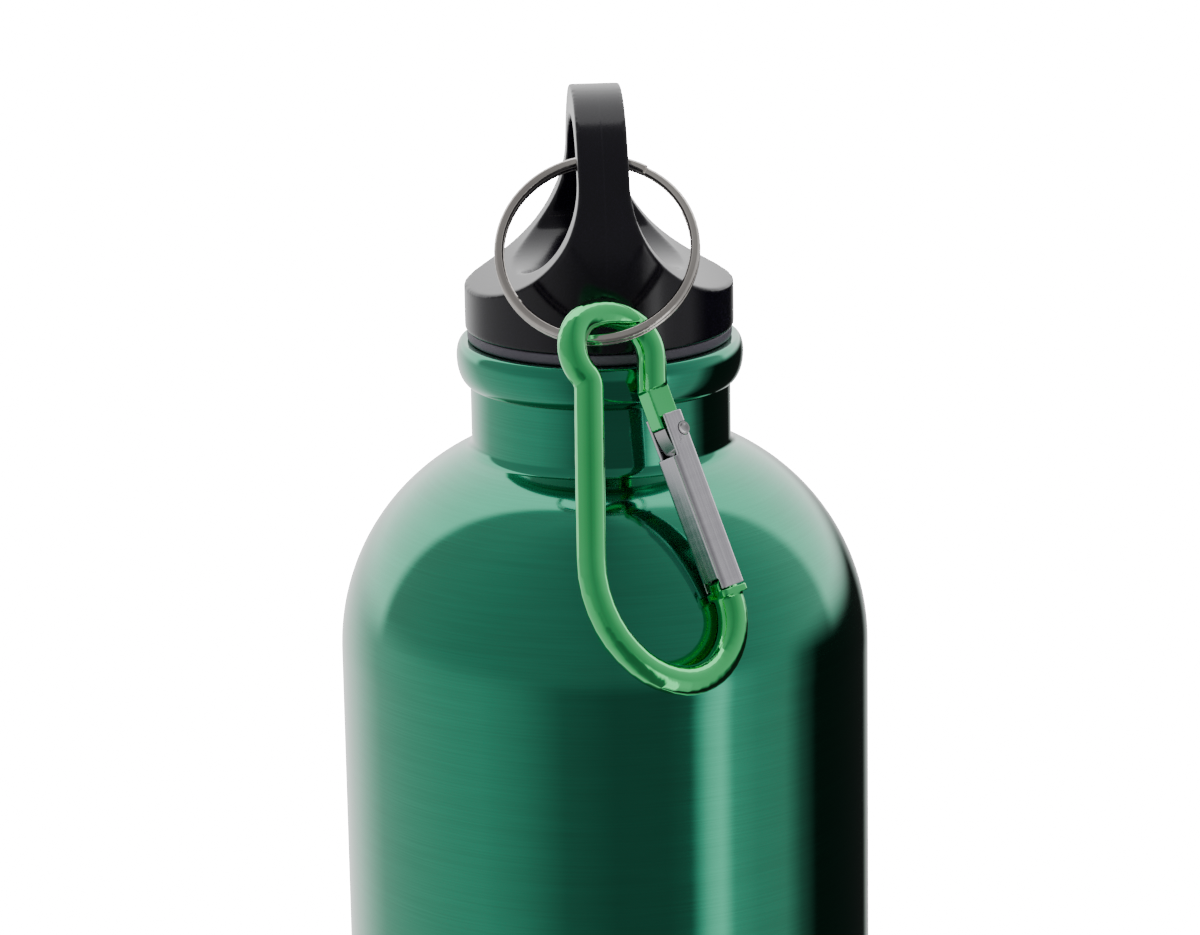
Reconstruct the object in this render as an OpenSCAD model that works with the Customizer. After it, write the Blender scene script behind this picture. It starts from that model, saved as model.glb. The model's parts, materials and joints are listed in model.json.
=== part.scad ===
// Aluminium sports bottle (canteen) with a screw cap, its carrying loop, a split ring and a snap clip.
// Millimetres, +Z up. The origin is the centre of the circle the bottle stands on; -Y is the front.

/* [Bottle] */
// Outside diameter of the straight wall
body_d = 66; // [60:1:76]
// Height at which the straight wall ends and the shoulder begins
shoulder_z = 138; // [110:1:170]
// Radius of the shoulder's curve
shoulder_r = 28; // [24:0.5:30]
// Wall thickness of the aluminium
wall = 0.9; // [0.6:0.1:1.2]
// Outside diameter of the neck
neck_d = 32.2; // [31:0.2:36]
// Height of the neck between the shoulder and the rolled rim
neck_h = 8.1; // [6:0.1:14]
// Radius of the hollow curve between shoulder and neck
neck_fillet = 1.6; // [1:0.1:3]
// Height of the rolled rim
rim_h = 5.5; // [4:0.1:7]
// How far the rolled rim stands out of the neck
rim_lip = 1.65; // [1:0.05:2.5]
// Radius of the bottom corner
foot_r = 6; // [4:0.5:9]
// Width of the flat ring the bottle stands on
foot_flat = 2.4; // [1:0.1:4]
// Depth of the hollow under the base
punt_h = 5; // [3:0.5:8]

/* [Thread] */
// Rise of the thread in one turn
lead = 4; // [3:0.1:5]
// Turns of thread on the stopper and in the neck
thread_turns = 2.5; // [1.5:0.25:2.75]
// How far each thread ridge stands out of its wall
thread_depth = 0.88; // [0.6:0.02:1]
// Radial gap between a ridge and the wall it runs past
thread_gap = 0.32; // [0.25:0.01:0.5]
// Wall of the threaded ring inside the neck
insert_wall = 1.2; // [1:0.1:1.6]
// Length of the threaded ring
insert_h = 13.6; // [12:0.1:16]
// Wall of the hollow stopper
plug_wall = 2; // [1.2:0.1:3]
// How far the stopper reaches below the gasket
plug_drop = 13.8; // [12:0.1:15]
// How far the stopper is set into the cap
plug_seat = 3.4; // [2:0.1:3.8]

/* [Cap] */
// Diameter of the cap's skirt
cap_d = 33.2; // [32:0.2:37]
// Height of the cap from its lower edge to the top of the loop
cap_h = 29.8; // [28:0.2:36]
// Height at which the round skirt ends and the loop's outline begins
skirt_h = 5.5; // [5:0.1:6]
// Width of the loop's strap
strap_w = 6.2; // [5:0.1:8]
// Radius of the two side scoops
scoop_r = 15; // [13:0.25:15.5]
// Squareness of the loop's outline (2 is an ellipse)
loop_power = 2.3; // [2:0.05:3]
// Thickness of the loop at its top
loop_t = 3.8; // [3:0.1:5]
// Thickness of the loop's legs
leg_t = 4.8; // [4:0.1:6]
// Height of the finger hole's floor above the cap's lower edge
floor_h = 7.6; // [6.5:0.1:9]
// Height of the finger hole's widest place above its floor
hole_mid = 4.9; // [3:0.1:7]
// Thickness of the gasket
gasket_t = 1.45; // [1:0.05:2.5]
// How far the gasket's edge lies inside the skirt
gasket_inset = 0.25; // [0:0.05:0.8]
// Gap between the gasket and the stopper it turns on
gasket_gap = 0.1; // [0.05:0.05:0.3]

/* [Split ring] */
// Outside diameter of the split ring
ring_d = 24.8; // [24:0.1:26]
// Width of the ring's wire, across the ring
wire_w = 1.2; // [1:0.05:1.5]
// Thickness of the ring's wire, along the ring's axis
wire_t = 0.8; // [0.6:0.05:1]
// Height of the ring's top above the floor of the finger hole
ring_rise = 14.3; // [13.5:0.1:15]
// Distance of the ring's top behind the front of the skirt
ring_depth = 9.6; // [8.8:0.1:10]
// Lean of the hanging ring, its foot forward
ring_lean = 37.3; // [34:0.1:40]
// Turn of the ring about the upright
ring_yaw = -7.9; // [-10:0.1:-6]

/* [Snap clip] */
// Diameter of the clip's rod
rod_d = 3.6; // [3:0.1:4.2]
// Radius of the small eye's sides, to the middle of the rod
eye_r = 4.46; // [4.4:0.02:5]
// Radius of the flatter curve over the eye's top
eye_top_r = 7; // [6.6:0.1:8]
// Length of the straight spine
spine_l = 21.2; // [18:0.2:23]
// Radius of the wide curve below the spine
sweep_r = 13.2; // [12:0.1:14]
// Radius of the curve along the clip's foot
foot_turn_r = 10.8; // [10:0.1:11.5]
// Radius of the last curve, up to the gate
bend_r = 8.1; // [7.6:0.05:8.6]
// Lean of the gate's line off the spine
gate_angle = 23.6; // [20:0.2:26]
// Width of the gate across its opening side
gate_w = 3.5; // [3.4:0.1:4.2]
// Thickness of the gate through its cheeks
gate_t = 3.9; // [3.6:0.1:4.6]
// Sheet thickness of the gate
gate_wall = 0.5; // [0.35:0.05:0.6]
// Length of the gate below its rivet
gate_l = 19.6; // [16:0.2:22]
// Thickness of the flattened tang the gate turns on
tang_t = 2.3; // [1.8:0.1:2.6]
// Diameter of the rivet
rivet_d = 1.6; // [1.2:0.1:1.8]
// Running gap between the rivet and the gate's cheeks
rivet_gap = 0.04; // [0.02:0.01:0.08]
// Running gap between the plunger and the inside of the gate
plunger_gap = 0.06; // [0.03:0.01:0.15]
// Lean of the hanging clip, its foot forward
clip_lean = 25.3; // [24:0.1:28]
// Turn of the clip about the upright
clip_yaw = 35.3; // [34:0.1:38]
// Tilt of the clip in its own plane
clip_roll = -19.1; // [-22:0.1:-16]
// Place on the ring where the clip hangs, as an angle from its lowest point
clip_at = 8.1; // [6:0.1:10]
// Where the wire crosses the eye, to the side of its middle
hang_x = -0.51; // [-0.6:0.01:-0.4]
// Where the wire crosses the eye, above its middle
hang_y = 1.57; // [1.4:0.01:1.6]

/* [Hidden] */
$fn = 96;
eps = 0.01;
arc_steps = 24;

bottle_green = "#167a55";
cap_black = "#1d1b24";
steel = "#b9b2ad";
clip_green = "#3fb168";

body_r = body_d / 2;
neck_r = neck_d / 2;
shoulder_x = body_r - shoulder_r;
neck_z = shoulder_z + sqrt(shoulder_r ^ 2 - (neck_r - shoulder_x) ^ 2);
rim_z = neck_z + neck_h;
bottle_h = rim_z + rim_h;
rim_r = neck_r + rim_lip;
mouth_r = neck_r - wall;
foot_x = body_r - foot_r;
punt_x = foot_x - foot_flat;

cap_z = bottle_h + gasket_t;
cap_r = cap_d / 2;
seal_gap = 0.02;
bore_r = mouth_r - insert_wall;
plug_r = bore_r - thread_gap - thread_depth;
plug_z = bottle_h - plug_drop;
insert_z = bottle_h - 0.6 - insert_h;

function arc(x, y, r, a0, a1, n = arc_steps) =
    [for (i = [0:n]) let (a = a0 + (a1 - a0) * i / n) [x + r * cos(a), y + r * sin(a)]];
function turn_x(p, a) = [p.x, p.y * cos(a) - p.z * sin(a), p.y * sin(a) + p.z * cos(a)];
function turn_z(p, a) = [p.x * cos(a) - p.y * sin(a), p.x * sin(a) + p.y * cos(a), p.z];

// ---- bottle ----

// Half outline of the bottle's skin, set in by s from the outside, from the base's middle to the mouth
function skin(s) =
    let (rf = neck_fillet + s,
         rs = shoulder_r - s,
         fx = neck_r + neck_fillet,
         fz = shoulder_z + sqrt((shoulder_r + neck_fillet) ^ 2 - (fx - shoulder_x) ^ 2),
         fa = atan2(fz - shoulder_z, fx - shoulder_x),
         punt_r = (punt_x ^ 2 + punt_h ^ 2) / (2 * punt_h),
         punt_a = asin(punt_x / punt_r))
    concat(
        arc(0, punt_h - punt_r, punt_r + s, 90, 90 - punt_a),
        [[punt_x + s, s]],
        arc(foot_x, foot_r, foot_r - s, -90, 0),
        arc(shoulder_x, shoulder_z, rs, 0, fa, 2 * arc_steps),
        arc(fx, fz, rf, fa - 180, -180, 8));

// Outline of the rolled rim, from its underside round to the inside of the mouth
function rim() =
    let (waist_z = rim_z + 0.64 * rim_h, top_x = neck_r + rim_lip / 2)
    concat(
        [for (a = [0:10:90]) [neck_r + rim_lip * sin(a), waist_z - (waist_z - rim_z) * cos(a)]],
        [for (a = [10:10:90]) [top_x + (rim_r - top_x) * cos(a), waist_z + (bottle_h - waist_z) * sin(a)]],
        arc(mouth_r + 0.5, bottle_h - 0.5, 0.5, 90, 180, 6));

function backwards(list) = [for (i = [len(list) - 1:-1:0]) list[i]];

module bottle_body() {
    color(bottle_green)
    rotate_extrude()
    polygon(concat(skin(0), rim(), backwards(skin(wall))));
}

// One helical ridge: its root is sunk into the wall it stands on, and both ends fade out
module thread_ridge(root_r, crest_r, z0) {
    per_turn = 40;
    steps = round(thread_turns * per_turn);
    fade = 5;
    root_w = 1.6;
    crest_w = 0.8;
    sections = [for (i = [0:steps])
        let (a = 360 * i / per_turn, z = z0 + lead * i / per_turn,
             grow = min(1, min(i, steps - i) / fade + 0.12),
             tip = root_r + (crest_r - root_r) * grow)
        for (q = [[root_r, -root_w / 2], [tip, -crest_w / 2], [tip, crest_w / 2], [root_r, root_w / 2]])
            [q[0] * cos(a), q[0] * sin(a), z + q[1]]];
    sides = [for (i = [0:steps - 1], j = [0:3])
        let (p = 4 * i + j, q = 4 * i + (j + 1) % 4)
        for (t = [[p, q, p + 4], [q, q + 4, p + 4]]) t];
    inward = crest_r < root_r;
    last = 4 * steps;
    faces = concat(sides, [[0, 3, 2], [0, 2, 1], [last, last + 1, last + 2], [last, last + 2, last + 3]]);
    polyhedron(sections, inward ? [for (f = faces) backwards(f)] : faces, convexity = 10);
}

module neck_thread_insert() {
    sink = 0.5;
    color("#d8d8d2")
    union() {
        translate([0, 0, insert_z])
        difference() {
            cylinder(h = insert_h, r = mouth_r);
            translate([0, 0, -eps]) cylinder(h = insert_h + 2 * eps, r = bore_r);
        }
        thread_ridge(bore_r + sink, bore_r - thread_depth, insert_z + 1.4);
    }
}

// ---- cap ----

module cap_gasket() {
    color("#3a3742")
    translate([0, 0, bottle_h + seal_gap])
    rotate_extrude()
    polygon(concat(
        [[plug_r + gasket_gap, 0]],
        arc(cap_r - gasket_inset - 0.35, 0.35, 0.35, -90, 0, 4),
        [[cap_r - gasket_inset, gasket_t - 2 * seal_gap], [plug_r + gasket_gap, gasket_t - 2 * seal_gap]]));
}

// Upper half of a squared ellipse with half width a and height b, standing on z
function hump(a, b, z) = [for (t = [0:4:180])
    let (c = cos(t), s = sin(t), k = 2 / loop_power)
    [a * sign(c) * abs(c) ^ k, z + b * s ^ k]];

// The loop from the side: the skirt below, one continuous arch above it
module loop_outline() {
    polygon(concat(hump(cap_r, cap_h - skirt_h, skirt_h), [[-cap_r, 0], [cap_r, 0]]));
}

module finger_hole() {
    mid = floor_h + hole_mid;
    polygon(concat(hump(cap_r - leg_t, cap_h - loop_t - mid, mid),
                   backwards([for (p = hump(cap_r - leg_t, hole_mid, 0)) [p.x, mid - p.y]])));
}

// The cap from the front: a straight strap that flares into the skirt
module strap_outline() {
    scoop_x = strap_w / 2 + scoop_r;
    scoop_z = skirt_h + scoop_r;
    difference() {
        translate([-cap_r - 1, 0]) square([cap_d + 2, cap_h + 1]);
        for (side = [-1, 1]) {
            translate([side * scoop_x, scoop_z]) circle(r = scoop_r);
            translate([side > 0 ? strap_w / 2 : -scoop_x, scoop_z]) square([scoop_r, cap_h]);
        }
    }
}

module cap_shell() {
    color(cap_black)
    translate([0, 0, cap_z])
    difference() {
        intersection() {
            cylinder(h = cap_h + 1, r = cap_r);
            rotate([90, 0, 90]) linear_extrude(height = cap_d + 4, center = true) loop_outline();
            rotate([90, 0, 0]) linear_extrude(height = cap_d + 4, center = true) strap_outline();
        }
        rotate([90, 0, 90]) linear_extrude(height = cap_d + 8, center = true) finger_hole();
        translate([0, 0, -eps]) cylinder(h = plug_seat + eps, r = plug_r);
    }
}

module cap_plug() {
    sink = 0.5;
    head = 2.2;
    color("#24222b")
    union() {
        difference() {
            translate([0, 0, plug_z]) cylinder(h = cap_z + plug_seat - plug_z, r = plug_r);
            translate([0, 0, plug_z - eps])
                cylinder(h = cap_z + plug_seat - head - plug_z + eps, r = plug_r - plug_wall);
        }
        thread_ridge(plug_r - sink, plug_r + thread_depth, insert_z + 1.4 + lead / 2);
    }
}

// ---- split ring ----

ring_r = (ring_d - wire_w) / 2;
ring_top = [0, -cap_r + ring_depth, cap_z + floor_h + ring_rise];

// A point on the ring's middle line, at an angle from its lowest point
function ring_point(a) =
    ring_top + turn_z(turn_x([ring_r * sin(a), 0, -ring_r - ring_r * cos(a)], -ring_lean), ring_yaw);

module place_ring() {
    translate(ring_top) rotate([0, 0, ring_yaw]) rotate([-ring_lean, 0, 0]) children();
}

// Two turns of flat wire: the wire changes from the back coil to the front coil along one stretch
module split_ring() {
    per_turn = 72;
    turns = 1.9;
    steps = round(turns * per_turn);
    start = 62;
    jog = 10;
    gap = 0.02;
    c = 0.28;
    w = wire_w / 2;
    t = (wire_t - gap) / 2;
    section = [[w, t - c], [w - c, t], [c - w, t], [-w, t - c], [-w, c - t], [c - w, -t], [w - c, -t], [w, c - t]];
    count = len(section);
    middle = steps / 2;
    points = [for (i = [0:steps])
        let (a = start + 360 * i / per_turn,
             s = min(1, max(0, (i - middle + jog) / (2 * jog))),
             side = wire_t / 2 * (2 * s * s * (3 - 2 * s) - 1))
        for (q = section) [(ring_r + q[0]) * cos(a), q[1] + side, (ring_r + q[0]) * sin(a) - ring_r]];
    sides = [for (i = [0:steps - 1], j = [0:count - 1])
        let (p = count * i + j, q = count * i + (j + 1) % count)
        for (f = [[p, q, p + count], [q, q + count, p + count]]) f];
    first = [for (j = [1:count - 2]) [0, j + 1, j]];
    last = [for (j = [1:count - 2]) [count * steps, count * steps + j, count * steps + j + 1]];
    color(steel)
    place_ring()
    polyhedron(points, [for (f = concat(sides, first, last)) backwards(f)], convexity = 10);
}

// ---- snap clip ----
// Drawn flat: X to the gate's side, Y up, Z towards the front, with the eye's centre at the origin

rod_r = rod_d / 2;
eye_x = (eye_r + eye_top_r) / 2;

module place_clip() {
    translate(ring_point(clip_at)) rotate([90 - clip_lean, 0, clip_yaw]) rotate([0, 0, clip_roll])
    translate([-hang_x, -hang_y, 0])
    children();
}

// Stations [x, y, heading] along a path; the heading counts from +Y to the left.
// A step of the path is [length] for a straight, or [radius, angle], a turn to the left, or right if < 0
function stations(path, x, y, i = 0, h = 0) =
    i == len(path) ? [[x, y, h]]
    : len(path[i]) == 1
        ? concat([[x, y, h]], stations(path, x - path[i][0] * sin(h), y + path[i][0] * cos(h), i + 1, h))
        : let (r = path[i][0] * sign(path[i][1]), turn = path[i][1], n = ceil(abs(turn) / 9),
               bend = [for (k = [0:n]) let (h2 = h + turn * k / n)
                   [x + r * (cos(h2) - cos(h)), y + r * (sin(h2) - sin(h)), h2]])
          concat([for (k = [0:n - 1]) bend[k]], stations(path, bend[n].x, bend[n].y, i + 1, h + turn));

// Round rod swept along the stations
module rod(track) {
    sides = 24;
    last = (len(track) - 1) * sides;
    points = [for (p = track, j = [0:sides - 1])
        let (u = rod_r * cos(360 * j / sides))
        [p.x - u * cos(p.z), p.y - u * sin(p.z), rod_r * sin(360 * j / sides)]];
    skin = [for (i = [0:len(track) - 2], j = [0:sides - 1])
        let (p = sides * i + j, q = sides * i + (j + 1) % sides)
        for (t = [[p, q, p + sides], [q, q + sides, p + sides]]) t];
    ends = [for (j = [1:sides - 2]) for (t = [[0, j + 1, j], [last, last + j, last + j + 1]]) t];
    polyhedron(points, [for (f = concat(skin, ends)) backwards(f)], convexity = 10);
}

crease = 50.8;
crease_r = 1.9;
sweep_turn = 60;
foot_turn = 35;
tail_l = 5.5;
frame_path = [[tail_l], [eye_r, 60], [eye_top_r, 60], [eye_r, 60 + crease], [crease_r, -crease], [spine_l],
              [sweep_r, sweep_turn], [foot_turn_r, foot_turn],
              [bend_r, 180 - sweep_turn - foot_turn + gate_angle]];
frame_track = stations(frame_path, eye_x, -tail_l);
frame_end = frame_track[len(frame_track) - 1];

// The gate's own frame: the rivet at the origin, -Y along the gate to its tip, +X outwards
gate_x = -0.95;
head_h = 0.9;
head_gap = 0.15;
head_y = -gate_l - head_gap;
rod_end_y = head_y - head_h + 0.1;
rivet_at = [frame_end.x - gate_x * cos(gate_angle) + rod_end_y * sin(gate_angle),
            frame_end.y - gate_x * sin(gate_angle) - rod_end_y * cos(gate_angle)];
cheek_z = gate_t / 2 - gate_wall;

module place_gate() {
    translate(rivet_at) rotate([0, 0, gate_angle]) children();
}

function rounded(w, t, r) = concat(
    arc(w / 2 - r, t / 2 - r, r, 0, 90, 6), arc(r - w / 2, t / 2 - r, r, 90, 180, 6),
    arc(r - w / 2, r - t / 2, r, 180, 270, 6), arc(w / 2 - r, r - t / 2, r, 270, 360, 6));

// Bar of rounded section about the gate's middle line, from y0 down to y1
module bar(w, t, r, y0, y1) {
    translate([gate_x, y0, 0]) rotate([90, 0, 0]) linear_extrude(height = y0 - y1) polygon(rounded(w, t, r));
}

// Plate of thickness t in the clip's plane
module plate(t, points) {
    linear_extrude(height = t, center = true) polygon(points);
}

tang_in = -2.5;
tang_out = 0.7;
tang_end = 0.7;
tang_top = 5.6;
hub_r = 1.2;

// Flat plate from the end of the eye to the rivet, rounded about the rivet
module tang() {
    root_y = tang_top + 1.4;
    root_x = tang_in + 2.3;
    root_w = 1.1;
    difference() {
        plate(tang_t, concat(
            [[tang_in, tang_end], [-hub_r, tang_end]],
            arc(0, 0, hub_r, 180, 306, 12),
            [[tang_out, tang_top], [root_x + root_w, root_y], [root_x - root_w, root_y], [tang_in, tang_top]]));
        cylinder(h = gate_t, r = rivet_d / 2, center = true, $fn = 32);
    }
}

// Head below the gate's tip, and the tongue that reaches into the gate
module nose() {
    tongue_t = 1.9;
    tongue_in = -2.6;
    tongue_out = 0.1;
    tongue_l = 1.5;
    bevel = 0.7;
    bar(3.7, gate_t, 0.5, head_y, head_y - head_h);
    plate(tongue_t, [
        [tongue_in, head_y - 0.2], [tongue_out, head_y - 0.2], [tongue_out, head_y + tongue_l],
        [tongue_in + bevel, head_y + tongue_l], [tongue_in, head_y + tongue_l - bevel]]);
}

module carabiner_frame() {
    color(clip_green)
    place_clip()
    union() {
        difference() {
            rod(frame_track);
            place_gate() translate([tang_in - 1, tang_top - 6, -rod_d]) cube([6, 6, 2 * rod_d]);
        }
        place_gate() tang();
        place_gate() nose();
    }
}

module gate_rivet() {
    dimple_r = 1.2;
    end_z = gate_t / 2 + 0.05;
    color("#c9c6cc")
    place_clip() place_gate()
    difference() {
        cylinder(h = 2 * end_z, r = rivet_d / 2, center = true, $fn = 32);
        for (side = [-1, 1]) translate([0, 0, side * (end_z + dimple_r - 0.2)]) sphere(r = dimple_r);
    }
}

plunger_y = tang_end - 0.1;
plunger_step = -2.7;
spring_l = 10;
spring_y = plunger_step - 0.05;
seat_y = spring_y - spring_l - 0.05;

module carabiner_gate() {
    top_y = 2.3;
    corner = 0.6;
    slot_in = -2.8;
    slot_out = -1.3;
    notch_l = 1.3;
    tongue_slot = 2.2;
    tongue_w = 2.3;
    seat_t = 0.6;
    inner_x = gate_x - gate_w / 2;
    outer_x = gate_x + gate_w / 2;
    color("#d6d4d8")
    place_clip() place_gate()
    union() {
        difference() {
            bar(gate_w, gate_t, corner, top_y, -gate_l);
            bar(gate_w - 2 * gate_wall, 2 * cheek_z, corner - gate_wall, top_y + 1, -gate_l - 1);
            // the side walls are cut away beside the tang
            translate([inner_x - 1, slot_in, -gate_t]) cube([corner + 1, top_y + 1 - slot_in, 2 * gate_t]);
            translate([gate_x, slot_out, -cheek_z]) cube([gate_w, top_y + 1 - slot_out, 2 * cheek_z]);
            // the tongue shows at the inner side and leaves through the outer side
            translate([inner_x - 1, -gate_l - 1, -cheek_z]) cube([gate_w / 2 + 1, notch_l + 1, 2 * cheek_z]);
            translate([outer_x - 1, -gate_l - 1, -tongue_w / 2]) cube([2, tongue_slot + 1, tongue_w]);
            cylinder(h = gate_t + 1, r = rivet_d / 2 + rivet_gap, center = true, $fn = 32);
        }
        // seat that the spring stands on
        bar(gate_w - gate_wall, gate_t - gate_wall, corner - gate_wall / 2, seat_y, seat_y - seat_t);
    }
}

// Helical spring of round wire along the gate
module gate_spring() {
    turns = 8;
    per_turn = 20;
    wire_r = 0.17;
    coil_r = gate_w / 2 - gate_wall - wire_r - 0.2;
    steps = turns * per_turn;
    sides = 8;
    rise = (spring_l - 2 * wire_r) / steps;
    points = [for (i = [0:steps])
        let (a = 360 * i / per_turn, r = coil_r)
        for (j = [0:sides - 1])
            let (b = 360 * j / sides, q = r + wire_r * cos(b))
            [q * cos(a), -wire_r - rise * i + wire_r * sin(b), q * sin(a)]];
    skin = [for (i = [0:steps - 1], j = [0:sides - 1])
        let (p = sides * i + j, q = sides * i + (j + 1) % sides)
        for (t = [[p, q, p + sides], [q, q + sides, p + sides]]) t];
    last = steps * sides;
    ends = [for (j = [1:sides - 2]) for (t = [[0, j + 1, j], [last, last + j, last + j + 1]]) t];
    color(steel)
    place_clip() place_gate() translate([gate_x, spring_y, 0])
    polyhedron(points, [for (f = concat(skin, ends)) backwards(f)], convexity = 10);
}

// Flat pin beside the rivet: the tang's shoulder presses its head, its stem stands in the spring
module spring_plunger() {
    head_t = 2.2;
    stem_w = 1;
    stem_l = 2.5;
    in_x = gate_x - gate_w / 2 + gate_wall + plunger_gap;
    out_x = gate_x + gate_w / 2 - gate_wall - plunger_gap;
    waist = 0.7;
    hub_y = -hub_r - 0.2;
    side = [for (t = [0:0.125:1]) [in_x + waist * t * t, plunger_y - (plunger_y - plunger_step) * t]];
    color("#b5b2b8")
    place_clip() place_gate() {
        plate(head_t, concat(side, [[out_x - waist, plunger_step], [out_x, hub_y], [-hub_r - 0.1, hub_y],
                                    [-hub_r - 0.1, plunger_y]]));
        translate([gate_x, plunger_step + 0.5, 0])
            rotate([90, 0, 0]) cylinder(h = stem_l + 0.5, r = stem_w / 2, $fn = 32);
    }
}

bottle_body();
neck_thread_insert();
cap_gasket();
cap_shell();
cap_plug();
split_ring();
carabiner_frame();
gate_rivet();
carabiner_gate();
gate_spring();
spring_plunger();
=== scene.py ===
"""Aluminium sports bottle with a screw cap, a split ring and a snap clip: the finished look."""

from __future__ import annotations

import json
import logging
import math
from dataclasses import dataclass
from enum import Enum
from typing import Sequence

import bpy
from mathutils import Matrix, Vector

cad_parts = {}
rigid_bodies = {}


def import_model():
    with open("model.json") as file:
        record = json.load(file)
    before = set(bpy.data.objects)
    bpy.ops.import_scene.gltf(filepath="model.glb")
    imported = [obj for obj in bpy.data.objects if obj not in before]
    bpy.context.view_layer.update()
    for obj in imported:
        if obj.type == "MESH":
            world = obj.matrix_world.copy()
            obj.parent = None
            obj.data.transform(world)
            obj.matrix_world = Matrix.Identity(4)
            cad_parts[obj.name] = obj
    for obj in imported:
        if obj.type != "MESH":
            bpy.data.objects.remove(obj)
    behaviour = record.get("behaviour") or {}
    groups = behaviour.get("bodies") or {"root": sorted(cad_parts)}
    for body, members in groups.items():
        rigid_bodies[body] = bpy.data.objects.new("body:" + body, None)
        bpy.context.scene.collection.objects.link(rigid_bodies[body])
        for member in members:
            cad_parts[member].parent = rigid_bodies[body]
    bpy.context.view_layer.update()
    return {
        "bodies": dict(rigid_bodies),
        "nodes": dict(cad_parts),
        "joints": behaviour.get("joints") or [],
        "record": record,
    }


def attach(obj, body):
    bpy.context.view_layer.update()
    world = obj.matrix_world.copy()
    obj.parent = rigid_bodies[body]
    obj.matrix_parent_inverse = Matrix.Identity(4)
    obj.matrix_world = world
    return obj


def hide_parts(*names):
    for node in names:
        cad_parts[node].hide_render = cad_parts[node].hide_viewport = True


log = logging.getLogger("canteen")
MM = 0.001
Colour = tuple[float, float, float]
Point = tuple[float, float]
WELD = 0.001 * MM
FINE_WELD = 0.0005 * MM
LATHE_CREASE = 40.0
THREAD_CREASE = 35.0
SMALL_CREASE = 38.0
SHARE, FIRST, SECOND, MIXED = 0, 6, 7, 2
PAPER_WHITE = (1.0, 0.985, 1.0, 1.0)


class Body(Enum):
    """The moving bodies that the pieces ride on."""

    BOTTLE = "bottle"
    GASKET = "gasket"
    CAP = "cap"
    RING = "ring"
    CLIP = "carabiner"
    GATE = "gate"
    PLUNGER = "plunger"


# ---------------------------------------------------------------- shader maths


class Value:
    """One output socket of a node tree, with arithmetic that adds Math nodes."""

    def __init__(self, tree: "Tree", socket: bpy.types.NodeSocket) -> None:
        """Keep the tree and the socket."""
        self.tree = tree
        self.socket = socket

    def _math(self, operation: str, *values: object) -> "Value":
        """Add one Math node.

        Args:
            operation: the Math node's operation.
            values: its inputs in order, as numbers or values.

        Returns:
            The node's result.
        """
        return self.tree.node(
            "ShaderNodeMath", {"operation": operation}, dict(enumerate(values))
        )

    def __add__(self, other: object) -> "Value":
        """self + other"""
        return self._math("ADD", self, other)

    __radd__ = __add__

    def __rsub__(self, other: object) -> "Value":
        """other - self"""
        return self._math("SUBTRACT", other, self)

    def __mul__(self, other: object) -> "Value":
        """self * other"""
        return self._math("MULTIPLY", self, other)

    def __truediv__(self, other: object) -> "Value":
        """self / other"""
        return self._math("DIVIDE", self, other)

    def __abs__(self) -> "Value":
        """The size of self without its sign."""
        return self._math("ABSOLUTE", self)

    def atan2(self, other: object) -> "Value":
        """The angle whose tangent is self over other."""
        return self._math("ARCTAN2", self, other)

    def ramp(self, low: float, high: float) -> "Value":
        """A smooth step from 0 at low to 1 at high."""
        return self.tree.node(
            "ShaderNodeMapRange",
            {"interpolation_type": "SMOOTHSTEP"},
            {0: self, 1: low, 2: high},
        )


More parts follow.
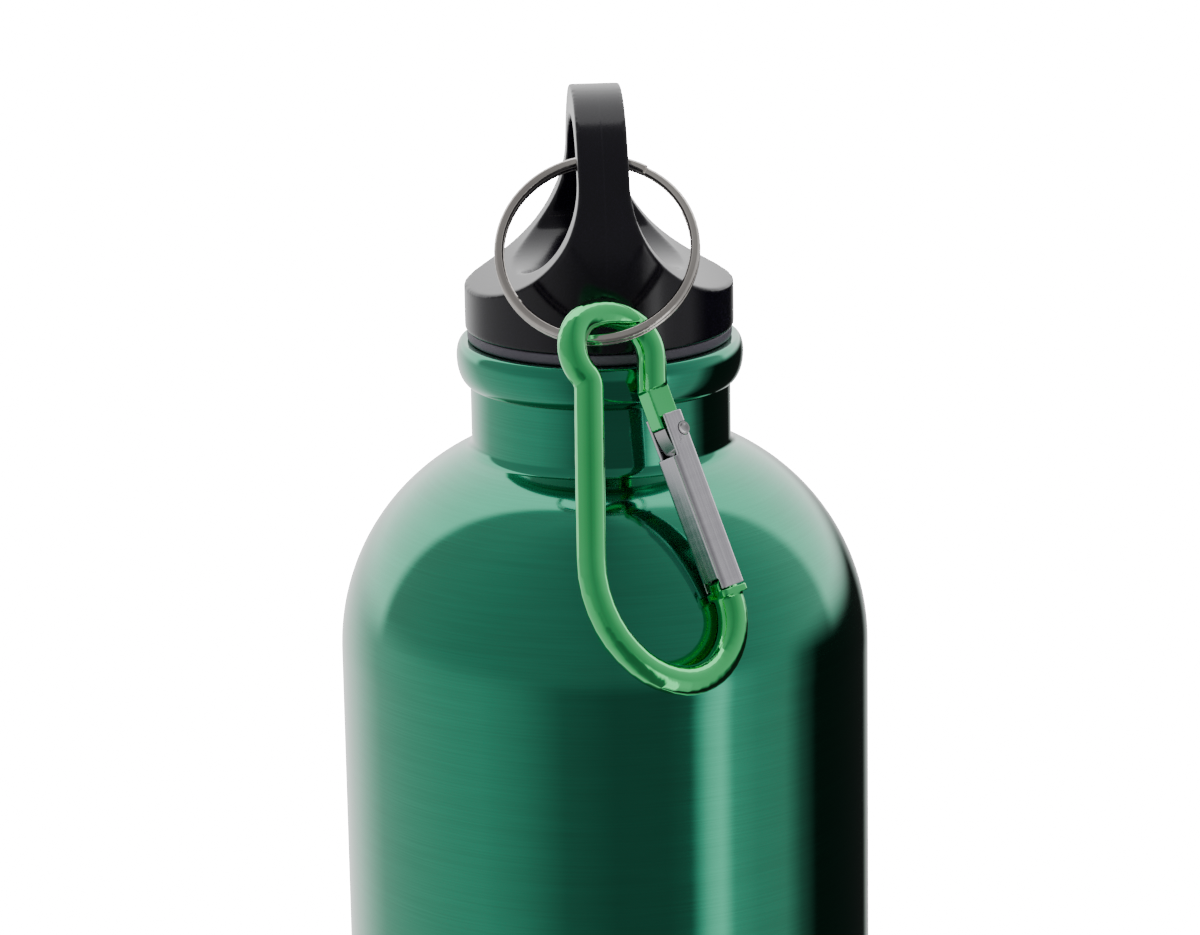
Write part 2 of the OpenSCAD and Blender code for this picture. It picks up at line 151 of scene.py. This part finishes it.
class Tree:
    """A node tree that is written as expressions."""

    def __init__(self, nodes: bpy.types.NodeTree) -> None:
        """Empty the tree and keep it."""
        self.tree = nodes
        self.tree.nodes.clear()

    def node(
        self, kind: str, settings: dict[str, object], inputs: dict[object, object], out: object = 0
    ) -> Value:
        """Add a node.

        Args:
            kind: the node's type.
            settings: its properties, which are set first; "stops" fills a colour ramp.
            inputs: its sockets by number or name, as numbers, tuples or values.
            out: the output to return.

        Returns:
            The chosen output.
        """
        made = self.tree.nodes.new(kind)
        for name, value in settings.items():
            if name == "stops":
                self._stops(made.color_ramp, value)
            else:
                setattr(made, name, value)
        for name, value in inputs.items():
            if isinstance(value, Value):
                self.tree.links.new(value.socket, made.inputs[name])
            else:
                made.inputs[name].default_value = value
        return Value(self, made.outputs[out])

    @staticmethod
    def _stops(ramp: bpy.types.ColorRamp, stops: Sequence[tuple[float, Colour]]) -> None:
        """Give a colour ramp its stops, from low to high."""
        while len(ramp.elements) < len(stops):
            ramp.elements.new(1.0)
        for element, (place, colour) in zip(ramp.elements, stops):
            element.position = place
            element.color = (*colour, 1.0)

    def end(self, surface: Value, kind: str = "ShaderNodeOutputMaterial") -> None:
        """Join a shader to the tree's output."""
        out = self.tree.nodes.new(kind)
        self.tree.links.new(surface.socket, out.inputs["Surface"])

    def place(self) -> Value:
        """The point on the piece, in metres."""
        return self.node("ShaderNodeTexCoord", {}, {}, "Object")

    def turned(self, scale: Colour, turn: Colour) -> Value:
        """The point on the piece, turned and then stretched."""
        turned = self.node("ShaderNodeMapping", {}, {"Vector": self.place(), "Rotation": turn})
        return self.node("ShaderNodeVectorMath", {"operation": "MULTIPLY"}, {0: turned, 1: scale})

    def noise(self, where: Value, scale: float, detail: float = 2.0) -> Value:
        """Soft noise from 0 to 1."""
        inputs = {"Vector": where, "Scale": scale, "Detail": detail}
        return self.node("ShaderNodeTexNoise", {}, inputs)

    def mix(self, share: Value, low: Colour, high: Colour) -> Value:
        """A colour between two, by share."""
        return self.node(
            "ShaderNodeMix",
            {"data_type": "RGBA"},
            {SHARE: share, FIRST: (*low, 1.0), SECOND: (*high, 1.0)},
            MIXED,
        )

    def blend(self, share: Value, low: Value, high: Value) -> Value:
        """A colour between two varying ones, by share."""
        inputs = {SHARE: share, FIRST: low, SECOND: high}
        return self.node("ShaderNodeMix", {"data_type": "RGBA"}, inputs, MIXED)

    def bump(self, height: Value, depth: float, strength: float) -> Value:
        """A normal that follows a height from 0 to 1, depth metres deep."""
        return self.node(
            "ShaderNodeBump", {}, {"Strength": strength, "Distance": depth, "Height": height}
        )


# ---------------------------------------------------------------- finishes


@dataclass(frozen=True)
class Finish:
    """A surface: its two colours, its gloss and what is fixed all over it."""

    name: str
    dark: Colour
    light: Colour
    rough: Point = (0.2, 0.3)
    metal: float = 0.0
    coat: float = 0.0
    coat_rough: float = 0.03

    def shade(self, tree: Tree) -> dict[str, Value]:
        """Give the values that vary over the surface.

        Args:
            tree: the material's tree.

        Returns:
            The shader's inputs by name.
        """
        grain = tree.noise(tree.place(), 900.0, 3.0)
        cloud = tree.noise(tree.place(), 60.0)
        return {
            "Base Color": tree.mix(cloud.ramp(0.3, 0.7), self.dark, self.light),
            "Roughness": self.spread(grain),
            "Normal": tree.bump(grain, 0.01 * MM, 0.3),
        }

    def spread(self, share: Value) -> Value:
        """Roughness between the finish's two limits."""
        low, high = self.rough
        return low + share * (high - low)

    def material(self) -> bpy.types.Material:
        """Build the material."""
        made = bpy.data.materials.new(self.name)
        made.use_nodes = True
        tree = Tree(made.node_tree)
        inputs: dict[object, object] = {
            "Metallic": self.metal,
            "Coat Weight": self.coat,
            "Coat Roughness": self.coat_rough,
        }
        inputs.update(self.shade(tree))
        tree.end(tree.node("ShaderNodeBsdfPrincipled", {}, inputs))
        return made


@dataclass(frozen=True)
class Brushed(Finish):
    """Metal drawn with fine lines that run at right angles to one direction."""

    across: Colour = (60.0, 60.0, 5200.0)
    turn: Colour = (0.0, 0.0, 0.0)
    depth: float = 0.0004 * MM

    def shade(self, tree: Tree) -> dict[str, Value]:
        """Give fine lines to the colour, the gloss and the normal."""
        lines = tree.noise(tree.turned(self.across, self.turn), 1.0, 4.0)
        patch = tree.noise(tree.turned((90.0, 90.0, 700.0), self.turn), 1.0)
        share = (lines * 0.65 + patch * 0.35).ramp(0.3, 0.7)
        return {
            "Base Color": tree.mix(share, self.dark, self.light),
            "Roughness": self.spread(share),
            "Normal": tree.bump(lines, self.depth, 0.6),
        }


@dataclass(frozen=True)
class Moulded(Finish):
    """Moulded plastic with a fine skin and the mould's parting line down its middle."""

    line_half: float = 0.09 * MM

    def shade(self, tree: Tree) -> dict[str, Value]:
        """Give the skin, the scuffs and the parting line."""
        skin = tree.noise(tree.place(), 2600.0, 2.0)
        scuff = tree.noise(tree.place(), 160.0, 3.0)
        across = tree.node("ShaderNodeSeparateXYZ", {}, {0: tree.place()}, "X")
        line = 1.0 - abs(across).ramp(0.0, self.line_half)
        worn = scuff.ramp(0.45, 0.8) * 0.5 + line * 0.5
        return {
            "Base Color": tree.mix(worn, self.dark, self.light),
            "Roughness": self.spread(worn * 0.6 + skin * 0.4),
            "Normal": tree.bump(skin * 0.3 + line, 0.02 * MM, 0.5),
        }


LACQUER = Brushed(
    "lacquered_green", (0.002, 0.31, 0.165), (0.004, 0.36, 0.195), (0.07, 0.12), 1.0, 1.0
)
BARE = Brushed("bare_aluminium", (0.60, 0.61, 0.62), (0.74, 0.75, 0.76), (0.25, 0.42), 1.0)
NATURAL = Finish("undyed_plastic", (0.66, 0.65, 0.60), (0.74, 0.73, 0.69), (0.38, 0.5))
GASKET = Finish("charcoal_rubber", (0.075, 0.068, 0.092), (0.10, 0.092, 0.12), (0.42, 0.56))
BLACK = Moulded("moulded_black", (0.0030, 0.0022, 0.0060), (0.0060, 0.0046, 0.011), (0.13, 0.24))
RING_STEEL = Finish("nickel_steel", (0.60, 0.56, 0.53), (0.80, 0.76, 0.72), (0.05, 0.14), 1.0)
CLIP_GREEN = Finish(
    "anodised_green", (0.045, 0.76, 0.20), (0.060, 0.86, 0.25), (0.04, 0.1), 1.0, 1.0
)
SPRING_STEEL = Finish("coil_steel", (0.45, 0.44, 0.46), (0.60, 0.59, 0.61), (0.2, 0.32), 1.0)


# ---------------------------------------------------------------- modelling by hand


def clear_selection() -> None:
    """Leave nothing selected."""
    if bpy.context.object and bpy.context.object.mode != "OBJECT":
        bpy.ops.object.mode_set(mode="OBJECT")
    bpy.ops.object.select_all(action="DESELECT")


def take(piece: bpy.types.Object) -> None:
    """Select one object alone and make it active."""
    clear_selection()
    piece.select_set(True)
    bpy.context.view_layer.objects.active = piece


def crisp(piece: bpy.types.Object, crease: float) -> None:
    """Shade a piece smooth, and keep the edges sharper than an angle in degrees."""
    take(piece)
    bpy.ops.object.shade_smooth_by_angle(angle=math.radians(crease))


def add_modifier(piece: bpy.types.Object, kind: str, **settings: object) -> None:
    """Put a modifier on a piece and apply it.

    Args:
        piece: the object.
        kind: the modifier's type.
        settings: the modifier's properties.
    """
    take(piece)
    made = piece.modifiers.new(kind.title(), kind)
    for name, value in settings.items():
        setattr(made, name, value)
    bpy.ops.object.modifier_apply(modifier=made.name)


def turned_piece(name: str, outline: Sequence[Point], steps: int) -> bpy.types.Object:
    """Turn a half outline about the upright, as on a lathe.

    Args:
        name: the piece's name.
        outline: radius and height of each point, in millimetres, in order.
        steps: the number of steps round.

    Returns:
        A closed mesh with its faces outwards.
    """
    drawn(outline, "X")
    piece = bpy.context.object
    piece.name = name
    bpy.ops.mesh.spin(steps=steps, angle=2 * math.pi, center=(0, 0, 0), axis=(0, 0, 1))
    bpy.ops.mesh.select_all(action="SELECT")
    bpy.ops.mesh.remove_doubles(threshold=WELD)
    bpy.ops.mesh.normals_make_consistent(inside=False)
    bpy.ops.object.mode_set(mode="OBJECT")
    crisp(piece, LATHE_CREASE)
    return piece


def drawn(outline: Sequence[Point], across: str) -> None:
    """Draw an open line in edit mode, point by point.

    Args:
        outline: the points, in millimetres; the second number is the height.
        across: the axis of the first number, X or Y.
    """
    way = Vector((1.0, 0.0, 0.0)) if across == "X" else Vector((0.0, 1.0, 0.0))
    up = Vector((0.0, 0.0, 1.0))
    clear_selection()
    first = (way * outline[0][0] + up * outline[0][1]) * MM
    bpy.ops.mesh.primitive_plane_add(size=MM, location=first)
    bpy.ops.object.transform_apply(location=True, rotation=True, scale=True)
    bpy.ops.object.mode_set(mode="EDIT")
    bpy.ops.mesh.select_all(action="SELECT")
    bpy.ops.mesh.merge(type="CENTER")
    for (u0, v0), (u1, v1) in zip(outline, outline[1:]):
        step = (way * (u1 - u0) + up * (v1 - v0)) * MM
        bpy.ops.mesh.extrude_region_move(TRANSFORM_OT_translate={"value": step})
    bpy.ops.mesh.select_all(action="SELECT")


def prism(outline: Sequence[Point], across: str, reach: float) -> bpy.types.Object:
    """A straight bar with a drawn outline, centred on the upright.

    Args:
        outline: the section's points, in millimetres.
        across: the axis of the section's first number, X or Y.
        reach: how far the bar runs to each side.

    Returns:
        The bar.
    """
    drawn(outline, across)
    bpy.ops.mesh.remove_doubles(threshold=WELD)
    bpy.ops.mesh.select_all(action="SELECT")
    bpy.ops.mesh.edge_face_add()
    long = Vector((0.0, 1.0, 0.0)) if across == "X" else Vector((1.0, 0.0, 0.0))
    bpy.ops.transform.translate(value=-long * reach * MM)
    bpy.ops.mesh.extrude_region_move(TRANSFORM_OT_translate={"value": long * 2 * reach * MM})
    bpy.ops.mesh.select_all(action="SELECT")
    bpy.ops.mesh.normals_make_consistent(inside=False)
    bpy.ops.object.mode_set(mode="OBJECT")
    return bpy.context.object


def cut(piece: bpy.types.Object, operation: str, tool: bpy.types.Object) -> None:
    """Cut a piece with a tool, and throw the tool away."""
    add_modifier(piece, "BOOLEAN", operation=operation, object=tool, solver="EXACT")
    bpy.data.objects.remove(tool)


def copy_of(node: bpy.types.Object, name: str) -> bpy.types.Object:
    """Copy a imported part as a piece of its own, with its corners merged.

    Args:
        node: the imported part.
        name: the piece's name.

    Returns:
        The copy, with no parent.
    """
    piece = bpy.data.objects.new(name, node.data.copy())
    bpy.context.scene.collection.objects.link(piece)
    piece.data.materials.clear()
    take(piece)
    bpy.ops.object.mode_set(mode="EDIT")
    bpy.ops.mesh.select_all(action="SELECT")
    bpy.ops.mesh.remove_doubles(threshold=FINE_WELD)
    bpy.ops.object.mode_set(mode="OBJECT")
    return piece


def soften(piece: bpy.types.Object, voxel: float, rounds: int) -> None:
    """Round every edge of a solid a little, as polishing or moulding does.

    Args:
        piece: the solid.
        voxel: the mesh's new spacing, in millimetres.
        rounds: how many times the mesh is smoothed.
    """
    take(piece)
    bpy.ops.object.duplicate()
    exact = bpy.context.object
    take(piece)
    piece.data.remesh_voxel_size = voxel * MM
    piece.data.remesh_voxel_adaptivity = 0.0
    bpy.ops.object.voxel_remesh()
    add_modifier(piece, "SHRINKWRAP", target=exact, wrap_method="NEAREST_SURFACEPOINT")
    add_modifier(piece, "SMOOTH", factor=0.5, iterations=rounds)
    bpy.ops.object.shade_smooth()
    bpy.data.objects.remove(exact)


def arc(cx: float, cz: float, r: float, start: float, end: float, steps: int) -> list[Point]:
    """Points along an arc, in millimetres and degrees."""
    turns = [math.radians(start + (end - start) * i / steps) for i in range(steps + 1)]
    return [(cx + r * math.cos(t), cz + r * math.sin(t)) for t in turns]


def finish_with(piece: bpy.types.Object, *finishes: Finish) -> None:
    """Give a piece its materials, in slot order."""
    for finish in finishes:
        made = bpy.data.materials.get(finish.name) or finish.material()
        piece.data.materials.append(made)


# ---------------------------------------------------------------- sub-assemblies


@dataclass
class Maker:
    """What every sub-assembly needs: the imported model, and how a piece is put in it."""

    frame: dict[str, object]

    def place(
        self, piece: bpy.types.Object, body: Body, slot: str, *nodes: str
    ) -> None:
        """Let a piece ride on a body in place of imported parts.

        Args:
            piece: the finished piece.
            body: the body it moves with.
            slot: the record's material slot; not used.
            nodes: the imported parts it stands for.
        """
        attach(piece, body.value)
        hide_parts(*nodes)
        log.info("%s: %d faces on %s", piece.name, len(piece.data.polygons), body.value)


@dataclass
class Bottle(Maker):
    """The drawn bottle with its rolled rim, and the threaded ring in its neck."""

    body_r: float = 33.0
    shoulder_z: float = 138.0
    shoulder_r: float = 28.0
    wall: float = 0.9
    neck_r: float = 16.1
    neck_h: float = 8.1
    neck_fillet: float = 1.6
    rim_h: float = 5.5
    rim_lip: float = 1.65
    waist_share: float = 0.64
    mouth_round: float = 0.5
    foot_r: float = 6.0
    foot_flat: float = 2.4
    punt_h: float = 5.0

    @property
    def shoulder_x(self) -> float:
        """Radius at which the shoulder's curve is centred."""
        return self.body_r - self.shoulder_r

    @property
    def rim_z(self) -> float:
        """Height of the rim's underside."""
        reach = self.neck_r - self.shoulder_x
        return self.shoulder_z + math.sqrt(self.shoulder_r**2 - reach**2) + self.neck_h

    @property
    def top_z(self) -> float:
        """Height of the mouth."""
        return self.rim_z + self.rim_h

    def skin(self, inset: float) -> list[Point]:
        """The bottle's half outline from the base's middle to the neck.

        Args:
            inset: how far inside the outer skin.

        Returns:
            The outline's points.
        """
        foot_x = self.body_r - self.foot_r
        punt_x = foot_x - self.foot_flat
        punt_r = (punt_x**2 + self.punt_h**2) / (2 * self.punt_h)
        punt_a = math.degrees(math.asin(punt_x / punt_r))
        fillet_x = self.neck_r + self.neck_fillet
        reach = self.shoulder_r + self.neck_fillet
        rise = math.sqrt(reach**2 - (fillet_x - self.shoulder_x) ** 2)
        turn = math.degrees(math.atan2(rise, fillet_x - self.shoulder_x))
        wall_z = [self.foot_r + (self.shoulder_z - self.foot_r) * i / 12 for i in range(1, 12)]
        crease = arc(
            fillet_x, self.shoulder_z + rise, self.neck_fillet + inset, turn - 180, -180, 10
        )
        return [
            *arc(0, self.punt_h - punt_r, punt_r + inset, 90, 90 - punt_a, 14),
            *arc(foot_x, self.foot_r, self.foot_r - inset, -90, 0, 14),
            *[(self.body_r - inset, z) for z in wall_z],
            *arc(self.shoulder_x, self.shoulder_z, self.shoulder_r - inset, 0, turn, 44),
            *crease[1:],
        ]

    def rim(self) -> list[Point]:
        """The rolled rim's outline, from its underside round to the inside of the mouth."""
        waist = self.rim_z + self.waist_share * self.rim_h
        top_x = self.neck_r + self.rim_lip / 2
        below = [math.radians(a) for a in range(0, 91, 9)]
        above = [math.radians(a) for a in range(9, 91, 9)]
        crown = self.neck_r + self.rim_lip - top_x
        mouth = self.neck_r - self.wall
        sag, rise = waist - self.rim_z, self.top_z - waist
        lip = self.mouth_round
        return [
            *[(self.neck_r + self.rim_lip * math.sin(a), waist - sag * math.cos(a)) for a in below],
            *[(top_x + crown * math.cos(a), waist + rise * math.sin(a)) for a in above],
            *arc(mouth + lip, self.top_z - lip, lip, 90, 180, 6),
        ]

    def build(self) -> None:
        """Build and place the bottle and its threaded ring."""
        outline = [*self.skin(0.0), *self.rim(), *reversed(self.skin(self.wall))]
        shell = turned_piece("bottle_shell", outline, 192)
        finish_with(shell, LACQUER, BARE)
        self.bare_inside(shell)
        self.place(shell, Body.BOTTLE, "green_lacquer", "bottle_body")
        ring = copy_of(self.frame["nodes"]["neck_thread_insert"], "neck_thread")
        crisp(ring, THREAD_CREASE)
        finish_with(ring, NATURAL)
        self.place(ring, Body.BOTTLE, "natural_plastic", "neck_thread_insert")

    def bare_inside(self, shell: bpy.types.Object) -> None:
        """Leave the faces that look into the bottle without lacquer."""
        for face in shell.data.polygons:
            out = Vector((face.center.x, face.center.y, 0.0))
            high = face.center.z > self.shoulder_z * MM
            looks_in = face.normal.dot(out) < -0.2 * out.length
            floor = face.normal.z > 0.5 and face.center.z < 12 * MM
            ceiling = high and face.normal.z < -0.15 and out.length < (self.neck_r - 0.3) * MM
            under = high and face.normal.z < -0.15 and face.center.z < (self.rim_z - 1) * MM
            face.material_index = int(looks_in or floor or ceiling or under)


@dataclass
class Cap(Maker):
    """The cap with its loop, the stopper below it and the gasket between."""

    low: float = 178.7558
    cap_r: float = 16.6
    cap_h: float = 29.8
    skirt_h: float = 5.5
    strap_half: float = 3.1
    scoop_r: float = 15.0
    power: float = 2.3
    loop_t: float = 3.8
    leg_t: float = 4.8
    floor_h: float = 7.6
    hole_mid: float = 4.9
    bore_r: float = 12.8
    bore_h: float = 3.4
    cap_sides: int = 288
    bore_sides: int = 192
    hump_steps: int = 120
    spare: float = 0.01
    over: float = 2.0
    skin_grid: float = 0.26
    seal_z: float = 177.3258
    seal_h: float = 1.41
    seal_out: float = 16.35
    seal_in: float = 12.9

    def hump(self, half: float, rise: float, foot: float) -> list[Point]:
        """Upper half of a squared ellipse, from right to left.

        Args:
            half: its half width.
            rise: its height.
            foot: the height it stands at.

        Returns:
            Its points.
        """
        points = []
        k = 2 / self.power
        for i in range(self.hump_steps + 1):
            turn = math.pi * i / self.hump_steps
            c, s = math.cos(turn), math.sin(turn)
            points.append((half * math.copysign(abs(c) ** k, c), foot + rise * max(s, 0.0) ** k))
        return points

    def moulding(self) -> bpy.types.Object:
        """The round skirt with the loop above it, scooped at both sides."""
        clear_selection()
        bpy.ops.mesh.primitive_cylinder_add(
            vertices=self.cap_sides,
            radius=self.cap_r * MM,
            depth=(self.cap_h + 1) * MM,
            location=(0, 0, (self.low + (self.cap_h + 1) / 2) * MM),
        )
        piece = bpy.context.object
        piece.name = "cap_moulding"
        bpy.ops.object.transform_apply(location=True, rotation=True, scale=True)
        top = self.low + self.skirt_h
        side_x, under = self.cap_r + self.spare, self.low - 0.5
        arch = self.hump(side_x, self.cap_h - self.skirt_h, top)
        foot = [(-side_x, under), (side_x, under)]
        reach = self.cap_r + 2 * self.over
        cut(piece, "INTERSECT", prism([*arch, *foot, arch[0]], "Y", self.cap_r + self.over))
        mid = self.low + self.floor_h + self.hole_mid
        half = self.cap_r - self.leg_t
        above = self.hump(half, self.cap_h - self.loop_t - self.floor_h - self.hole_mid, mid)
        below = [(u, 2 * mid - v) for u, v in reversed(self.hump(half, self.hole_mid, mid))]
        cut(piece, "DIFFERENCE", prism([*above, *below[1:]], "Y", reach))
        scoop_x, scoop_z = self.strap_half + self.scoop_r, top + self.scoop_r
        for side in (-1, 1):
            curve = [(side * u, v) for u, v in arc(scoop_x, scoop_z, self.scoop_r, -90, -180, 96)]
            high = self.low + self.cap_h + 3
            rest = [(side * self.strap_half, high), (side * scoop_x, high), curve[0]]
            cut(piece, "DIFFERENCE", prism([*curve, *rest], "X", reach))
        clear_selection()
        bpy.ops.mesh.primitive_cylinder_add(
            vertices=self.bore_sides,
            radius=self.bore_r * MM,
            depth=2 * self.bore_h * MM,
            location=(0, 0, self.low * MM),
        )
        cut(piece, "DIFFERENCE", bpy.context.object)
        return piece

    def build(self) -> None:
        """Build and place the cap's three pieces."""
        shell = self.moulding()
        soften(shell, self.skin_grid, 14)
        finish_with(shell, BLACK)
        self.place(shell, Body.CAP, "black_plastic", "cap_shell")
        stopper = copy_of(self.frame["nodes"]["cap_plug"], "cap_stopper")
        crisp(stopper, THREAD_CREASE)
        finish_with(stopper, BLACK)
        self.place(stopper, Body.CAP, "black_plastic", "cap_plug")
        low, high = self.seal_z, self.seal_z + self.seal_h
        edge = [
            *arc(self.seal_out - 0.45, low + 0.45, 0.45, -90, 0, 8),
            *arc(self.seal_out - 0.2, high - 0.2, 0.2, 0, 90, 5),
        ]
        outline = [(self.seal_in, low), *edge, (self.seal_in, high), (self.seal_in, low)]
        seal = turned_piece("sealing_gasket", outline, 144)
        finish_with(seal, GASKET)
        self.place(seal, Body.GASKET, "gasket_rubber", "cap_gasket")


@dataclass
class Hardware(Maker):
    """The split ring and the snap clip with its sprung gate."""

    ring_grid: float = 0.09
    rod_grid: float = 0.15
    gate_grid: float = 0.1

    def build(self) -> None:
        """Build and place the ring, the clip's frame, its gate and the parts in the gate."""
        ring = copy_of(self.frame["nodes"]["split_ring"], "key_ring")
        soften(ring, self.ring_grid, 5)
        finish_with(ring, RING_STEEL)
        self.place(ring, Body.RING, "ring_steel", "split_ring")

        rod = copy_of(self.frame["nodes"]["carabiner_frame"], "clip_frame")
        soften(rod, self.rod_grid, 12)
        finish_with(rod, CLIP_GREEN)
        self.place(rod, Body.CLIP, "green_anodised", "carabiner_frame")

        gate = copy_of(self.frame["nodes"]["carabiner_gate"], "clip_gate")
        soften(gate, self.gate_grid, 7)
        finish_with(gate, self.gate_finish())
        self.place(gate, Body.GATE, "gate_steel", "carabiner_gate")

        for node, name, body, slot in (
            ("gate_rivet", "clip_rivet", Body.CLIP, "gate_steel"),
            ("gate_spring", "gate_coil", Body.GATE, "spring_steel"),
            ("spring_plunger", "gate_plunger", Body.PLUNGER, "spring_steel"),
        ):
            piece = copy_of(self.frame["nodes"][node], name)
            crisp(piece, SMALL_CREASE)
            finish_with(piece, SPRING_STEEL)
            self.place(piece, body, slot, node)

    def gate_finish(self) -> Brushed:
        """Bright sheet with lines along the gate."""
        slide = next(j for j in self.frame["joints"] if j["name"] == "plunger_slide")
        along = Vector(slide["axis"]).rotation_difference(Vector((0.0, 0.0, 1.0))).to_euler()
        return Brushed(
            "folded_sheet",
            (0.60, 0.58, 0.64),
            (0.80, 0.78, 0.84),
            (0.16, 0.30),
            1.0,
            across=(3600.0, 3600.0, 60.0),
            turn=tuple(along),
        )


# ---------------------------------------------------------------- studio


@dataclass
class Studio:
    """The pale floor, the surroundings, the soft boxes and the camera."""

    eye: Colour = (-35.3, -573.3, 316.45)
    look: Colour = (0.0589, 0.9632, -0.2622)
    roll: float = -1.0
    lens: float = 143.52
    white: float = 22.0
    room: float = 1.15
    floor_r: float = 9.0
    floor_z: float = -0.0002
    floor_glow: float = 0.93
    low_stops: tuple[tuple[float, float], ...] = (
        (-180, 1.3), (-145, 1.1), (-120, 0.66), (-90, 0.58), (-60, 0.5), (-40, 0.36),
        (-22, 0.18), (0, 0.12), (22, 0.12), (33, 0.16), (41, 1.1), (47, 1.45), (53, 0.6),
        (65, 0.46), (80, 0.42), (90, 0.14), (100, 0.015), (150, 0.015), (162, 0.5),
        (172, 1.2), (180, 1.3),
    )
    high_stops: tuple[tuple[float, float], ...] = (
        (-180, 1.5), (-165, 1.6), (-121, 1.6), (-115, 0.42), (-85, 0.4), (-40, 0.3),
        (0, 0.22), (40, 0.3), (90, 0.5), (110, 0.6), (116, 1.5), (180, 1.5),
    )

    def build(self) -> None:
        """Build everything round the object."""
        self.floor()
        self.surroundings()
        self.lights()
        self.camera()

    def floor(self) -> None:
        """A wide pale floor that the gloss doesn't pick up."""
        clear_selection()
        bpy.ops.mesh.primitive_circle_add(
            vertices=64, radius=self.floor_r, fill_type="NGON", location=(0, 0, self.floor_z)
        )
        plane = bpy.context.object
        plane.name = "studio_floor"
        made = bpy.data.materials.new("studio_floor")
        made.use_nodes = True
        tree = Tree(made.node_tree)
        dull = tree.node("ShaderNodeBsdfDiffuse", {}, {"Color": (0.9, 0.9, 0.9, 1.0)})
        seen = tree.node("ShaderNodeLightPath", {}, {}, "Is Camera Ray")
        glow = tree.node("ShaderNodeEmission", {}, {"Color": PAPER_WHITE, "Strength": self.white})
        share = seen * self.floor_glow
        tree.end(tree.node("ShaderNodeMixShader", {}, {0: share, 1: dull, 2: glow}))
        plane.data.materials.append(made)
        plane.visible_glossy = False

    def surroundings(self) -> None:
        """White round the back, a dark card on the right and the unlit room behind the camera."""
        world = bpy.data.worlds.new("studio")
        bpy.context.scene.world = world
        world.use_nodes = True
        tree = Tree(world.node_tree)
        way = tree.node("ShaderNodeTexCoord", {}, {}, "Generated")
        x, y, z = (tree.node("ShaderNodeSeparateXYZ", {}, {0: way}, axis) for axis in "XYZ")
        round_it = x.atan2(0.0 - y) / (2 * math.pi) + 0.5
        low, high = (
            self.band(tree, round_it, stops) for stops in (self.low_stops, self.high_stops)
        )
        seen = tree.node("ShaderNodeLightPath", {}, {}, "Is Camera Ray")
        colour = tree.blend(z.ramp(-0.12, 0.1), low, high)
        lit = tree.node("ShaderNodeBackground", {}, {"Color": colour, "Strength": self.room})
        paper = {"Color": PAPER_WHITE, "Strength": self.white}
        plain = tree.node("ShaderNodeBackground", {}, paper)
        both = tree.node("ShaderNodeMixShader", {}, {0: seen, 1: lit, 2: plain})
        tree.end(both, "ShaderNodeOutputWorld")

    @staticmethod
    def band(tree: Tree, where: Value, stops: Sequence[tuple[float, float]]) -> Value:
        """Brightness round the object, from its back by the left, the front and the right."""
        top = max(b for _, b in stops)
        places = [((a + 180) / 360, (b / top,) * 3) for a, b in stops]
        ramp = tree.node("ShaderNodeValToRGB", {"stops": places}, {0: where})
        return tree.node("ShaderNodeVectorMath", {"operation": "SCALE"}, {0: ramp, 3: top})

    def lights(self) -> None:
        """Two soft boxes and a large one overhead."""
        for name, place, size, power in (
            ("box_left", (-0.75, -0.35, 0.75), 0.5, 1.6),
            ("box_right", (0.8, -0.1, 0.7), 0.4, 1.4),
            ("box_top", (0.0, 0.25, 1.1), 0.7, 2.5),
        ):
            lamp = bpy.data.lights.new(name, "AREA")
            lamp.shape, lamp.size, lamp.energy = "SQUARE", size, power
            holder = bpy.data.objects.new(name, lamp)
            bpy.context.scene.collection.objects.link(holder)
            holder.visible_glossy = False
            aim = Vector((0.0, 0.0, 0.15)) - Vector(place)
            turn = aim.to_track_quat("-Z", "Y").to_matrix().to_4x4()
            holder.matrix_world = Matrix.Translation(place) @ turn

    def camera(self) -> None:
        """The camera at the viewer's place."""
        ahead = Vector(self.look).normalized()
        right = ahead.cross(Vector((0.0, 0.0, 1.0))).normalized()
        up = right.cross(ahead)
        turn = math.radians(self.roll)
        side = right * math.cos(turn) + up * math.sin(turn)
        top = side.cross(ahead)
        lens = bpy.data.cameras.new("viewer")
        lens.lens, lens.sensor_width, lens.sensor_fit = self.lens, 36.0, "HORIZONTAL"
        lens.clip_start, lens.clip_end = 0.01, 50.0
        holder = bpy.data.objects.new("viewer", lens)
        bpy.context.scene.collection.objects.link(holder)
        pose = Matrix((side, top, -ahead)).transposed().to_4x4()
        holder.matrix_world = Matrix.Translation(Vector(self.eye) * MM) @ pose
        bpy.context.scene.camera = holder


def main() -> None:
    """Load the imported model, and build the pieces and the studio."""
    logging.basicConfig(level=logging.INFO, format="%(name)s: %(message)s")
    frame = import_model()
    for part in (Bottle(frame), Cap(frame), Hardware(frame), Studio()):
        part.build()
    clear_selection()


if __name__ == "__main__":
    main()
